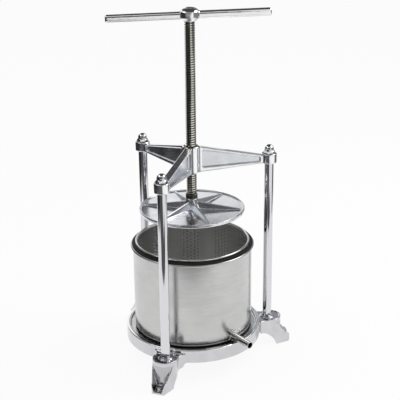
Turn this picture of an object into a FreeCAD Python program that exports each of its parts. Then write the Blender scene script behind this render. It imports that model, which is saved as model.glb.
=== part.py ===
import FreeCAD, Part
import math
import os
from FreeCAD import Vector

# A table fruit press. Three chromed posts stand on a cast base and carry a cast three-armed
# yoke. A trapezoidal screw with a cast T-handle runs in the yoke and pushes a ribbed press
# plate down into a perforated basket, which stands in a sheet-steel vessel with a spout.
# Millimetres. Z is up, the table is at Z = 0 and the screw's axis is the Z axis.
# The spout points to -Y.

# Frame: three posts on a circle round the screw
POST_CIRCLE_R = 136.0
POST_ANGLES = (-150.0, -30.0, 90.0)
POST_NAMES = ("left_post", "right_post", "rear_post")
POST_R = 8.0
POST_LENGTH = 293.6
STUD_R = 5.0
STUD_CLEARANCE = 0.3
STUD_CHAMFER = 1.0
NUT_ACROSS_FLATS = 17.0
NUT_CHAMFER = 1.3
HEX_NUT_HEIGHT = 8.0
NUT_DOME_HEIGHT = 10.0
NUT_DOME_INSET = 0.5
NUT_HOLE_BEYOND_STUD = 1.0
WASHER_R = 10.0
WASHER_THICKNESS = 2.0
THREAD_BEYOND_NUT = 2.0

# Base casting
SEAT_Z = 50.0
LUG_R = 21.0
LUG_OVERHANG = 4.0
LUG_NECK_RADIUS = 16.0
LUG_LIP_WIDTH = 2.2
LUG_LIP_HEIGHT = 1.6
LUG_LIP_ANGLE = 209.0
POST_COLLAR_WALL = 4.0
POST_COLLAR_HEIGHT = 2.4
POST_COLLAR_CLEARANCE = 0.15
RING_R = 119.3
RING_RISE = 7.0
RING_HEIGHT = 24.0
RING_TOP_WIDTH = 7.0
RING_SKIRT_WIDTH = 5.0
RING_FILLET = 4.0
RING_EDGE = 1.1
RIM_BEAD_WIDTH = 1.4
RIM_GROOVE_WIDTH = 0.9
RIM_GROOVE_DEPTH = 0.9
TRAY_RISE = 3.0
TRAY_THICKNESS = 5.0
TRAY_RIB_HEIGHT = 11.0
TRAY_RIB_WIDTH = 6.0
TRAY_BOSS_R = 18.0
NUT_SEAT_DEPTH = 14.0
NUT_POCKET_R = 11.5
CASTING_OVERLAP = 1.0

# Feet of the base casting
TOE_OVERHANG = 41.0
TOE_HALF_WIDTH = 10.5
TOE_CORNER_R = 3.0
TOE_LENGTH = 27.0
TOE_SOLE_CHAMFER = 1.6
FOOT_KNOB_R = 6.5
FOOT_KNOB_Z = 12.5
FOOT_KNOB_START = 100.0
FOOT_SLOPE_SETBACK = 16.0
FOOT_ARCH_RISE = 25.5
FOOT_ARCH_R = 32.4
FOOT_CHEEK = 3.5
FOOT_POCKET_DRAFT = 17.0
FOOT_FLOOR = 4.5
FOOT_BOLT_SETBACK = 11.0
FOOT_BOLT_HOLE_R = 3.25
FOOT_BOLT_BOSS_R = 6.0
FOOT_BOLT_BOSS_TOP = 10.5

# Juice vessel, sheet steel
VESSEL_R = 103.5
VESSEL_HEIGHT = 154.5
VESSEL_WALL = 1.0
VESSEL_CORNER_R = 6.0
VESSEL_BEAD_R = 2.2
SPOUT_R = 6.25
SPOUT_WALL = 0.9
SPOUT_SEAT_STEP = 0.35
SPOUT_SHOULDER_LENGTH = 0.5
SPOUT_REACH = 149.0
SPOUT_RISE = 12.5
SPOUT_DROP = 2.4
SPOUT_COLLAR_R = 8.6
SPOUT_COLLAR_LENGTH = 4.0
SPOUT_NOTCH_CLEARANCE = 3.0

# Basket, sheet steel
BASKET_R = 97.0
BASKET_WALL = 1.0
BASKET_RIM_RISE = 6.9
BASKET_BEAD_R = 1.85
BASKET_FLOOR_RISE = 6.0
BASKET_FLOOR_THICKNESS = 1.5

# Rubber splash ring between basket and vessel
SPLASH_RING_LIP = 4.0
SPLASH_RING_EDGE = 0.7
SPLASH_RING_OVERHANG = 0.2
SOFT_CLEARANCE = 0.15

# Yoke casting
YOKE_HUB_R = 15.0
YOKE_HUB_DROP = 7.6
YOKE_HUB_HEIGHT = 46.0
YOKE_HUB_CHAMFER = 1.5
YOKE_ARM_DEPTH = 44.0
YOKE_ARM_HALF_WIDTH = 6.5
YOKE_WEB_THICKNESS = 5.0
YOKE_TOP_FLANGE = 4.6
YOKE_BOTTOM_FLANGE = 7.4
YOKE_PANEL_END_GAP = 2.6
YOKE_PANEL_CORNER_R = 2.5
YOKE_BOSS_R = 13.2
YOKE_BOSS_HEIGHT = 17.0
YOKE_BOSS_CHAMFER = 0.8
YOKE_BOSS_STEP = 1.0
YOKE_CUP_DEPTH = 5.0
YOKE_CUP_R = 10.8
YOKE_ARM_END_DROP = 2.4

# Screw, its nut and the T-handle
SCREW_R = 9.0
SCREW_LENGTH = 296.0
SCREW_CHAMFER = 1.2
SCREW_NUT_WALL = 2.9
SCREW_NUT_RECESS = 1.0
RUNNING_CLEARANCE = 0.08
JOURNAL_R = 7.0
JOURNAL_CHAMFER = 0.6
HANDLE_HUB_HEIGHT = 21.5
HANDLE_HUB_R = 16.3
HANDLE_HUB_FOOT_R = 10.5
HANDLE_HUB_CHAMFER = 5.5
HANDLE_DOME_HEIGHT = 6.0
HANDLE_CROWN_R = 5.0
HANDLE_HALF_LENGTH = 137.0
HANDLE_BAR_HEIGHT = 13.0
HANDLE_BAR_WIDTH = 11.5
HANDLE_BAR_EDGE_R = 4.6
HANDLE_BAR_END_R = 3.0
HANDLE_BAR_RISE = 9.25
HANDLE_ANGLE = -28.6
HANDLE_TENON_R = 7.0
HANDLE_TENON_LENGTH = 16.0
HANDLE_PIN_R = 2.0
HANDLE_PIN_HEIGHT = 7.0
HANDLE_PIN_DEPTH = 5.0
HANDLE_PIN_RECESS = 0.4

# Press plate
PLATE_R = 90.8
PLATE_LIFT = 51.6
PLATE_THICKNESS = 4.5
PLATE_EDGE = 1.2
PLATE_LIP_HEIGHT = 2.1
PLATE_LIP_WIDTH = 3.0
PLATE_LIP_EDGE = 0.6
PLATE_HUB_TOP_R = 10.8
PLATE_HUB_FOOT_R = 14.5
PLATE_HUB_HEIGHT = 23.0
PLATE_HUB_EDGE = 0.8
PLATE_HUB_FLARE_HEIGHT = 8.0
PLATE_HUB_FILLET = 3.0
PLATE_RIBS = 6
PLATE_RIB_OFFSET = 10.7
PLATE_RIB_TIP = 84.5
PLATE_RIB_HEIGHT = 13.0
PLATE_RIB_TIP_HEIGHT = 2.2
PLATE_RIB_FOOT_WIDTH = 14.0
PLATE_RIB_TIP_WIDTH = 5.0
PLATE_RIB_CREST = 2.6

# What holds the plate to the screw
THRUST_WASHER_THICKNESS = 1.5
THRUST_COLLAR_R = 10.2
THRUST_COLLAR_HEIGHT = 6.0
THRUST_COLLAR_EDGE = 0.8
PLATE_WASHER_R = 10.0
PLATE_WASHER_THICKNESS = 2.0
PLATE_RECESS_DEPTH = 8.6
PLATE_RECESS_CLEARANCE = 0.5
PLATE_END_PLAY = 0.3
PLATE_BOLT_R = 4.0
PLATE_BOLT_LENGTH = 18.0
PLATE_BOLT_HOLE_BEYOND = 1.0
PLATE_BOLT_HEAD_FLATS = 13.0
PLATE_BOLT_HEAD_HEIGHT = 5.3

# Places that follow from the sizes above
RING_TOP = SEAT_Z + RING_RISE
RING_BOTTOM = RING_TOP - RING_HEIGHT
TRAY_Z = SEAT_Z + TRAY_RISE
NUT_SEAT_Z = SEAT_Z - NUT_SEAT_DEPTH
LUG_CIRCLE_R = POST_CIRCLE_R + LUG_OVERHANG
TOE_REACH = POST_CIRCLE_R + TOE_OVERHANG
FOOT_BOLT_CIRCLE_R = TOE_REACH - FOOT_BOLT_SETBACK
BOSS_BOTTOM = SEAT_Z + POST_LENGTH
BOSS_TOP = BOSS_BOTTOM + YOKE_BOSS_HEIGHT
CUP_Z = BOSS_TOP - YOKE_CUP_DEPTH
YOKE_HUB_BOTTOM = BOSS_BOTTOM - YOKE_HUB_DROP
YOKE_HUB_TOP = YOKE_HUB_BOTTOM + YOKE_HUB_HEIGHT
YOKE_ARM_TOP = YOKE_HUB_BOTTOM + YOKE_ARM_DEPTH
YOKE_ARM_END = POST_CIRCLE_R - YOKE_BOSS_R - YOKE_BOSS_STEP
VESSEL_TOP = TRAY_Z + VESSEL_HEIGHT
VESSEL_FLOOR = TRAY_Z + VESSEL_WALL
VESSEL_INNER_R = VESSEL_R - VESSEL_WALL
VESSEL_BEAD_CIRCLE_R = VESSEL_R + VESSEL_BEAD_R - VESSEL_WALL / 2
BASKET_TOP = VESSEL_TOP + BASKET_RIM_RISE
BASKET_INNER_R = BASKET_R - BASKET_WALL
SPOUT_Z = TRAY_Z + SPOUT_RISE
SPOUT_SEAT_R = SPOUT_R - SPOUT_SEAT_STEP
PLATE_UNDERSIDE = BASKET_TOP + PLATE_LIFT
PLATE_TOP = PLATE_UNDERSIDE + PLATE_THICKNESS
PLATE_HUB_TOP = PLATE_UNDERSIDE + PLATE_HUB_HEIGHT
THRUST_WASHER_TOP = PLATE_HUB_TOP + THRUST_WASHER_THICKNESS
SCREW_SHOULDER = THRUST_WASHER_TOP + THRUST_COLLAR_HEIGHT
PLATE_RECESS_TOP = PLATE_UNDERSIDE + PLATE_RECESS_DEPTH
JOURNAL_END = PLATE_RECESS_TOP - PLATE_END_PLAY
PLATE_WASHER_BOTTOM = JOURNAL_END - PLATE_WASHER_THICKNESS
HANDLE_HUB_BOTTOM = SCREW_SHOULDER + SCREW_LENGTH
SCREW_TOP = HANDLE_HUB_BOTTOM + HANDLE_TENON_LENGTH


def cylinder(radius, bottom, top, x=0.0, y=0.0):
    return Part.makeCylinder(radius, top - bottom, Vector(x, y, bottom))


def ring(outer, inner, bottom, top):
    return cylinder(outer, bottom, top).cut(cylinder(inner, bottom, top))


def closed_wire(points):
    return Part.makePolygon([Vector(*p) for p in points] + [Vector(*points[0])])


def on_circle(centre, radius, angle):
    """A point of (radius, height), seen in the XZ plane, at an angle from the +X direction."""
    turn = math.radians(angle)
    return (centre[0] + radius * math.cos(turn), centre[1] + radius * math.sin(turn))


def arc(centre, radius, start, end):
    """An arc of an outline: the point that it passes, and its end."""
    return on_circle(centre, radius, (start + end) / 2), on_circle(centre, radius, end)


def outline(steps, y=0.0):
    """A face in the XZ plane. Each step is a point to run to, or an arc from the last point."""
    def at(point):
        return Vector(point[0], y, point[1])

    edges = []
    here = steps[0]
    for step in steps[1:] + steps[:1]:
        if isinstance(step[0], tuple):
            edges.append(Part.Arc(at(here), at(step[0]), at(step[1])).toShape())
            here = step[1]
        else:
            edges.append(Part.makeLine(at(here), at(step)))
            here = step
    return Part.Face(Part.Wire(edges))


def turned(steps):
    """Revolve an outline about the Z axis."""
    return outline(steps).revolve(Vector(0, 0, 0), Vector(0, 0, 1), 360)


def prism(steps, y_from, y_to):
    """Extrude an outline along Y."""
    return outline(steps, y_from).extrude(Vector(0, y_to - y_from, 0))


def hexagon(across_flats, bottom, top):
    corner_r = across_flats / math.sqrt(3)
    corners = [(corner_r * math.cos(math.radians(a)), corner_r * math.sin(math.radians(a)), bottom)
               for a in range(0, 360, 60)]
    return Part.Face(closed_wire(corners)).extrude(Vector(0, 0, top - bottom))


def turned_to(shape, angle):
    """A copy of the shape, turned about the Z axis."""
    copy = shape.copy()
    copy.rotate(Vector(0, 0, 0), Vector(0, 0, 1), angle)
    return copy


def at_angles(shape):
    """Three copies of a shape that is drawn on the X axis, one towards each post."""
    return [turned_to(shape, angle) for angle in POST_ANGLES]


def at_posts(shape):
    """Three copies of a shape that is drawn round the Z axis, one on each post's axis."""
    moved = shape.copy()
    moved.translate(Vector(POST_CIRCLE_R, 0, 0))
    return at_angles(moved)


def bead(centre_r, centre_z, radius):
    """A rolled edge: a torus about the Z axis."""
    return Part.makeTorus(centre_r, radius, Vector(0, 0, centre_z), Vector(0, 0, 1))


def lug_outline(bottom, top):
    """A round lug that flows into the tray ring through a concave neck on each side."""
    neck_from_axis = RING_R + LUG_NECK_RADIUS
    neck_from_lug = LUG_R + LUG_NECK_RADIUS
    neck_x = (neck_from_axis ** 2 - neck_from_lug ** 2 + LUG_CIRCLE_R ** 2) / (2 * LUG_CIRCLE_R)
    neck = Vector(neck_x, math.sqrt(neck_from_axis ** 2 - neck_x ** 2), bottom)
    axis = Vector(0, 0, bottom)
    middle = Vector(LUG_CIRCLE_R, 0, bottom)
    on_ring = axis + (neck - axis) * (RING_R / neck_from_axis)
    on_lug = middle + (neck - middle) * (LUG_R / neck_from_lug)
    to_middle = ((on_ring - neck) + (on_lug - neck)).normalize()
    on_neck = neck + to_middle * LUG_NECK_RADIUS

    def mirrored(p):
        return Vector(p.x, -p.y, p.z)

    edges = [
        Part.Arc(on_ring, on_neck, on_lug).toShape(),
        Part.Arc(on_lug, middle + Vector(LUG_R, 0, 0), mirrored(on_lug)).toShape(),
        Part.Arc(mirrored(on_lug), mirrored(on_neck), mirrored(on_ring)).toShape(),
        Part.LineSegment(mirrored(on_ring), on_ring).toShape(),
    ]
    return Part.Face(Part.Wire(edges)).extrude(Vector(0, 0, top - bottom))


def toe_wedge():
    """The foot's plan: two flat flanks that leave the lug's circle as tangents to the toe."""
    reach = TOE_REACH - LUG_CIRCLE_R
    to_corner = math.atan2(TOE_HALF_WIDTH, reach)
    tangent = to_corner + math.acos(LUG_R / math.hypot(TOE_HALF_WIDTH, reach))
    on_lug = (LUG_CIRCLE_R + LUG_R * math.cos(tangent), LUG_R * math.sin(tangent))
    plan = [(LUG_CIRCLE_R, 0.0), on_lug, (TOE_REACH, TOE_HALF_WIDTH),
            (TOE_REACH, -TOE_HALF_WIDTH), (on_lug[0], -on_lug[1])]
    wedge = Part.Face(closed_wire([(x, y, 0.0) for x, y in plan])).extrude(Vector(0, 0, SEAT_Z))
    toe_corners = [e for e in wedge.Edges if abs(e.CenterOfMass.x - TOE_REACH) < 1e-6
                   and abs(e.tangentAt(e.FirstParameter).z) > 1 - 1e-6]
    return wedge.makeFillet(TOE_CORNER_R, toe_corners)


def cheek_outline():
    """A cheek from the side: it slopes from the lug's top down to a round knob at the toe."""
    knob = (TOE_REACH - FOOT_KNOB_R, FOOT_KNOB_Z)
    return [(LUG_CIRCLE_R, SEAT_Z), (LUG_CIRCLE_R + LUG_R - FOOT_SLOPE_SETBACK, SEAT_Z),
            on_circle(knob, FOOT_KNOB_R, FOOT_KNOB_START), arc(knob, FOOT_KNOB_R, FOOT_KNOB_START, 0),
            (TOE_REACH, 0.0), (LUG_CIRCLE_R, 0.0)]


def leg_outline():
    """A foot from the side, up to its seat: the sole, the heel and the arch to the tray's ring."""
    heel = TOE_REACH - TOE_LENGTH
    span = math.hypot(heel - RING_R, FOOT_ARCH_RISE)
    sagitta = FOOT_ARCH_R - math.sqrt(FOOT_ARCH_R ** 2 - span ** 2 / 4)
    arch_middle = ((heel + RING_R) / 2 + sagitta * FOOT_ARCH_RISE / span,
                   FOOT_ARCH_RISE / 2 + sagitta * (heel - RING_R) / span)
    return [(TOE_REACH, SEAT_Z), (TOE_REACH, TOE_SOLE_CHAMFER),
            (TOE_REACH - TOE_SOLE_CHAMFER, 0.0), (heel, 0.0), (arch_middle, (RING_R, FOOT_ARCH_RISE)),
            (RING_R - RING_TOP_WIDTH / 2, RING_BOTTOM), (RING_R - RING_TOP_WIDTH / 2, SEAT_Z)]


def foot_pocket():
    """The space between a foot's cheeks. It widens upwards, so that the casting draws."""
    toe_x = TOE_REACH + CASTING_OVERLAP
    draft = math.tan(math.radians(FOOT_POCKET_DRAFT))
    floor_half = TOE_HALF_WIDTH - FOOT_CHEEK
    top_half = floor_half + draft * (SEAT_Z - FOOT_FLOOR)
    section = [(toe_x, floor_half, FOOT_FLOOR), (toe_x, top_half, SEAT_Z),
               (toe_x, -top_half, SEAT_Z), (toe_x, -floor_half, FOOT_FLOOR)]
    return Part.Face(closed_wire(section)).extrude(Vector(LUG_CIRCLE_R - toe_x, 0, 0))


def foot():
    """A cast foot: a round lug on an arched leg, with two cheeks and a bolt boss between them."""
    cheeks = toe_wedge().common(prism(cheek_outline(), -2 * LUG_R, 2 * LUG_R))
    blank = lug_outline(0.0, SEAT_Z).fuse(cheeks)
    leg = blank.common(prism(leg_outline(), -2 * LUG_R, 2 * LUG_R))
    kept = [cylinder(LUG_R, 0.0, SEAT_Z, LUG_CIRCLE_R),
            cylinder(FOOT_BOLT_BOSS_R, 0.0, FOOT_BOLT_BOSS_TOP, FOOT_BOLT_CIRCLE_R)]
    leg = leg.cut(foot_pocket().cut(kept))

    lip_bottom = SEAT_Z - CASTING_OVERLAP
    lip_height = CASTING_OVERLAP + LUG_LIP_HEIGHT
    lip_place = Vector(LUG_CIRCLE_R, 0, lip_bottom), Vector(0, 0, 1)
    lip = Part.makeCylinder(LUG_R, lip_height, *lip_place, LUG_LIP_ANGLE)
    lip = lip.cut(Part.makeCylinder(LUG_R - LUG_LIP_WIDTH, lip_height, *lip_place))
    lip.rotate(lip_place[0], lip_place[1], -LUG_LIP_ANGLE / 2)
    collar = cylinder(POST_R + POST_COLLAR_WALL, lip_bottom, SEAT_Z + POST_COLLAR_HEIGHT,
                      POST_CIRCLE_R)
    return leg.fuse([lip, collar])


def foot_holes():
    """What is drilled at one foot: the post's socket, its stud's hole and pocket, and the bolt's."""
    return [cylinder(POST_R + POST_COLLAR_CLEARANCE, SEAT_Z, BOSS_BOTTOM, POST_CIRCLE_R),
            cylinder(STUD_R + STUD_CLEARANCE, 0.0, SEAT_Z, POST_CIRCLE_R),
            cylinder(NUT_POCKET_R, 0.0, NUT_SEAT_Z, POST_CIRCLE_R),
            cylinder(FOOT_BOLT_HOLE_R, 0.0, FOOT_BOLT_BOSS_TOP, FOOT_BOLT_CIRCLE_R)]


def base_casting():
    inner = RING_R - RING_TOP_WIDTH
    bead_out = inner + RIM_BEAD_WIDTH
    groove_out = bead_out + RIM_GROOVE_WIDTH
    groove_z = RING_TOP - RIM_GROOVE_DEPTH
    skirt = RING_R - RING_SKIRT_WIDTH
    tray_bottom = TRAY_Z - TRAY_THICKNESS
    tray = turned([
        (0.0, tray_bottom), (skirt - RING_FILLET, tray_bottom), (skirt, tray_bottom - RING_FILLET),
        (skirt, RING_BOTTOM), (RING_R - RING_EDGE, RING_BOTTOM),
        (RING_R, RING_BOTTOM + RING_EDGE), (RING_R, RING_TOP - RING_EDGE),
        (RING_R - RING_EDGE, RING_TOP), (groove_out, RING_TOP), (groove_out, groove_z),
        (bead_out, groove_z), (bead_out, RING_TOP), (inner, RING_TOP), (inner, TRAY_Z),
        (0.0, TRAY_Z)])
    rib_bottom = tray_bottom - TRAY_RIB_HEIGHT
    rib_top = tray_bottom + CASTING_OVERLAP
    boss = cylinder(TRAY_BOSS_R, rib_bottom, rib_top)
    rib = Part.makeBox(skirt + CASTING_OVERLAP, TRAY_RIB_WIDTH, rib_top - rib_bottom,
                       Vector(0, -TRAY_RIB_WIDTH / 2, rib_bottom))
    feet = at_angles(foot())
    holes = [hole for drilled in foot_holes() for hole in at_angles(drilled)]
    ribs = [turned_to(rib, angle + turn) for angle in POST_ANGLES for turn in (0.0, 60.0)]
    solid = tray.fuse([boss] + ribs + feet)
    notch = Part.makeCylinder(SPOUT_R + SPOUT_NOTCH_CLEARANCE, RING_R,
                              Vector(0, 0, SPOUT_Z), Vector(0, -1, 0))
    return solid.cut([notch] + holes).removeSplitter()


def post():
    """A chromed rod, turned down at both ends to a stud and seated on the shoulders."""
    stud_bottom = NUT_SEAT_Z - WASHER_THICKNESS - HEX_NUT_HEIGHT - THREAD_BEYOND_NUT
    stud_top = CUP_Z + WASHER_THICKNESS + HEX_NUT_HEIGHT + THREAD_BEYOND_NUT
    return turned([
        (0.0, stud_bottom), (STUD_R - STUD_CHAMFER, stud_bottom),
        (STUD_R, stud_bottom + STUD_CHAMFER), (STUD_R, SEAT_Z), (POST_R, SEAT_Z),
        (POST_R, BOSS_BOTTOM), (STUD_R, BOSS_BOTTOM), (STUD_R, stud_top - STUD_CHAMFER),
        (STUD_R - STUD_CHAMFER, stud_top), (0.0, stud_top)])


def washer(bottom):
    return ring(WASHER_R, STUD_R + STUD_CLEARANCE, bottom, bottom + WASHER_THICKNESS)


def nut_blank(bottom):
    """A hexagon whose corners are turned off at both ends."""
    flats_r = NUT_ACROSS_FLATS / 2
    corner_r = NUT_ACROSS_FLATS / math.sqrt(3)
    top = bottom + HEX_NUT_HEIGHT
    corners = turned([
        (0.0, bottom), (flats_r, bottom), (corner_r, bottom + NUT_CHAMFER),
        (corner_r, top - NUT_CHAMFER), (flats_r, top), (0.0, top)])
    return hexagon(NUT_ACROSS_FLATS, bottom, top).common(corners)


def hex_nut(bottom):
    return nut_blank(bottom).cut(cylinder(STUD_R, bottom, bottom + HEX_NUT_HEIGHT))


def acorn_nut(bottom):
    """A domed nut: a hexagon, a short neck and a round dome, drilled blind."""
    dome_r = NUT_ACROSS_FLATS / 2 - NUT_DOME_INSET
    nut_top = bottom + HEX_NUT_HEIGHT
    dome_centre = (0.0, nut_top + NUT_DOME_HEIGHT - dome_r)
    dome = turned([(0.0, bottom), (dome_r, bottom), on_circle(dome_centre, dome_r, 0),
                   arc(dome_centre, dome_r, 0, 90)])
    blind = cylinder(STUD_R, bottom, nut_top + THREAD_BEYOND_NUT + NUT_HOLE_BEYOND_STUD)
    return nut_blank(bottom).fuse(dome).cut(blind)


def yoke_arm_top(r):
    """Height of an arm's sloping top edge at a distance from the screw's axis."""
    drop = YOKE_ARM_TOP - (BOSS_TOP - YOKE_ARM_END_DROP)
    return YOKE_ARM_TOP - drop * (r - YOKE_HUB_R) / (YOKE_ARM_END - YOKE_HUB_R)


def yoke_arm_bottom(r):
    rise = BOSS_BOTTOM - YOKE_HUB_BOTTOM
    return YOKE_HUB_BOTTOM + rise * (r - YOKE_HUB_R) / (YOKE_ARM_END - YOKE_HUB_R)


def yoke_arm():
    """An I-section arm: a thin web inside a border of flanges, deep at the hub."""
    reach = POST_CIRCLE_R - YOKE_BOSS_R / 2
    blank = prism([
        (0.0, YOKE_HUB_BOTTOM), (YOKE_HUB_R, YOKE_HUB_BOTTOM), (YOKE_ARM_END, BOSS_BOTTOM),
        (reach, BOSS_BOTTOM), (reach, yoke_arm_top(YOKE_ARM_END)),
        (YOKE_ARM_END, yoke_arm_top(YOKE_ARM_END)), (YOKE_HUB_R, YOKE_ARM_TOP),
        (0.0, YOKE_ARM_TOP)], -YOKE_ARM_HALF_WIDTH, YOKE_ARM_HALF_WIDTH)
    start = YOKE_HUB_R + YOKE_PANEL_END_GAP
    end = YOKE_ARM_END - YOKE_PANEL_END_GAP
    panel_outline = [
        (start, yoke_arm_bottom(start) + YOKE_BOTTOM_FLANGE),
        (end, yoke_arm_bottom(end) + YOKE_BOTTOM_FLANGE / 2),
        (end, yoke_arm_top(end) - YOKE_TOP_FLANGE / 2),
        (start, yoke_arm_top(start) - YOKE_TOP_FLANGE)]
    panels = []
    for side in (-1, 1):
        web_face = side * YOKE_WEB_THICKNESS / 2
        panel = prism(panel_outline, web_face, side * YOKE_ARM_HALF_WIDTH)
        across = [e for e in panel.Edges if abs(e.tangentAt(e.FirstParameter).y) > 1 - 1e-6]
        panels.append(panel.makeFillet(YOKE_PANEL_CORNER_R, across))
    return blank.cut(panels)


def yoke_casting():
    arms = at_angles(yoke_arm())
    hub = turned([
        (0.0, YOKE_HUB_BOTTOM), (YOKE_HUB_R, YOKE_HUB_BOTTOM),
        (YOKE_HUB_R, YOKE_HUB_TOP - YOKE_HUB_CHAMFER),
        (YOKE_HUB_R - YOKE_HUB_CHAMFER, YOKE_HUB_TOP), (0.0, YOKE_HUB_TOP)])
    boss = turned([
        (0.0, BOSS_BOTTOM), (YOKE_BOSS_R, BOSS_BOTTOM), (YOKE_BOSS_R, BOSS_TOP - YOKE_BOSS_CHAMFER),
        (YOKE_BOSS_R - YOKE_BOSS_CHAMFER, BOSS_TOP), (0.0, BOSS_TOP)])
    cup = cylinder(YOKE_CUP_R, CUP_Z, YOKE_ARM_TOP)
    stud_hole = cylinder(STUD_R + STUD_CLEARANCE, BOSS_BOTTOM, BOSS_TOP)
    nut_bore = cylinder(SCREW_R + RUNNING_CLEARANCE + SCREW_NUT_WALL,
                        YOKE_HUB_BOTTOM, YOKE_HUB_TOP)
    solid = hub.fuse(arms + at_posts(boss))
    return solid.cut(at_posts(cup) + at_posts(stud_hole) + [nut_bore]).removeSplitter()


def screw_nut():
    """The bronze nut sleeve pressed into the yoke's hub, a little below its top face."""
    bore = SCREW_R + RUNNING_CLEARANCE
    return ring(bore + SCREW_NUT_WALL, bore, YOKE_HUB_BOTTOM, YOKE_HUB_TOP - SCREW_NUT_RECESS)


def along_spout(steps):
    """Turn an outline about the spout's axis. Its height 0 is at the vessel's inner wall."""
    root = Vector(0, -VESSEL_INNER_R, SPOUT_Z)
    mouth = Vector(0, -SPOUT_REACH, SPOUT_Z - SPOUT_DROP)
    solid = turned(steps)
    solid.rotate(Vector(0, 0, 0), Vector(1, 0, 0), math.degrees(math.atan2(
        root.y - mouth.y, mouth.z - root.z)))
    solid.translate(root)
    return solid


def spout_length():
    return math.hypot(SPOUT_REACH - VESSEL_INNER_R, SPOUT_DROP)


def vessel_shell():
    """The drawn side wall with its rolled rim and rounded lower corner."""
    corner = (VESSEL_R - VESSEL_CORNER_R, TRAY_Z + VESSEL_CORNER_R)
    bead_z = VESSEL_TOP - VESSEL_BEAD_R
    wall = turned([
        (corner[0], TRAY_Z), arc(corner, VESSEL_CORNER_R, -90, 0), (VESSEL_R, bead_z),
        (VESSEL_INNER_R, bead_z), (VESSEL_INNER_R, corner[1]),
        arc(corner, VESSEL_CORNER_R - VESSEL_WALL, 0, -90)])
    rim = bead(VESSEL_BEAD_CIRCLE_R, bead_z, VESSEL_BEAD_R)
    hole = along_spout([(0.0, -SPOUT_R), (SPOUT_SEAT_R, -SPOUT_R),
                        (SPOUT_SEAT_R, SPOUT_COLLAR_LENGTH), (0.0, SPOUT_COLLAR_LENGTH)])
    return wall.fuse(rim).cut(hole)


def vessel_bottom():
    return cylinder(VESSEL_R - VESSEL_CORNER_R, TRAY_Z, VESSEL_FLOOR)


def spout_tube():
    """A straight steel tube, turned down at its root and falling slightly to its mouth."""
    bore = SPOUT_R - SPOUT_WALL
    shoulder = VESSEL_WALL + SPOUT_COLLAR_LENGTH
    tube = along_spout([
        (bore, -SPOUT_R), (SPOUT_SEAT_R, -SPOUT_R), (SPOUT_SEAT_R, shoulder),
        (SPOUT_R, shoulder + SPOUT_SHOULDER_LENGTH), (SPOUT_R, spout_length()),
        (bore, spout_length())])
    return tube.cut(cylinder(VESSEL_INNER_R, TRAY_Z, VESSEL_TOP))


def spout_collar():
    """The small flange round the spout's root, laid against the vessel's wall."""
    shoulder = VESSEL_WALL + SPOUT_COLLAR_LENGTH
    collar = along_spout([(SPOUT_SEAT_R, 0.0), (SPOUT_COLLAR_R, 0.0), (SPOUT_COLLAR_R, shoulder),
                          (SPOUT_SEAT_R, shoulder)])
    return collar.cut(cylinder(VESSEL_R, TRAY_Z, VESSEL_TOP))


def basket_shell():
    """The basket's side wall. It stands on its lower edge on the vessel's bottom."""
    return ring(BASKET_R, BASKET_INNER_R, VESSEL_FLOOR, BASKET_TOP - BASKET_BEAD_R)


def basket_rim():
    """The thick rounded ring welded to the basket's upper edge."""
    return bead(BASKET_INNER_R + BASKET_BEAD_R, BASKET_TOP - BASKET_BEAD_R,
                BASKET_BEAD_R).cut(basket_shell())


def basket_floor():
    bottom = VESSEL_FLOOR + BASKET_FLOOR_RISE
    return cylinder(BASKET_INNER_R, bottom, bottom + BASKET_FLOOR_THICKNESS)


def splash_ring():
    """The rubber ring that closes the gap between the basket and the vessel's rim."""
    inner = BASKET_R + SOFT_CLEARANCE
    plug = VESSEL_INNER_R - SOFT_CLEARANCE
    rim_top = VESSEL_TOP + SOFT_CLEARANCE
    outer = VESSEL_BEAD_CIRCLE_R + SPLASH_RING_OVERHANG
    under_bead = BASKET_TOP - 2 * BASKET_BEAD_R - SOFT_CLEARANCE
    return turned([
        (inner, rim_top - SPLASH_RING_LIP), (plug, rim_top - SPLASH_RING_LIP), (plug, rim_top),
        (outer, rim_top), (outer, rim_top + SPLASH_RING_EDGE),
        (BASKET_R + BASKET_BEAD_R, under_bead), (inner, under_bead)])


def plate_rib():
    """One rib of the press plate: a wedge that is high and wide at the hub."""
    bottom = PLATE_TOP - CASTING_OVERLAP

    def section(r, foot_width, height):
        half_foot = foot_width / 2
        half_crest = PLATE_RIB_CREST / 2
        top = PLATE_TOP + height
        return closed_wire([(r, -half_foot, bottom), (r, half_foot, bottom),
                            (r, half_crest, top), (r, -half_crest, top)])

    return Part.makeLoft([
        section(PLATE_HUB_TOP_R / 2, PLATE_RIB_FOOT_WIDTH, PLATE_RIB_HEIGHT),
        section(PLATE_RIB_TIP, PLATE_RIB_TIP_WIDTH, PLATE_RIB_TIP_HEIGHT)], True, True)


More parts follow.
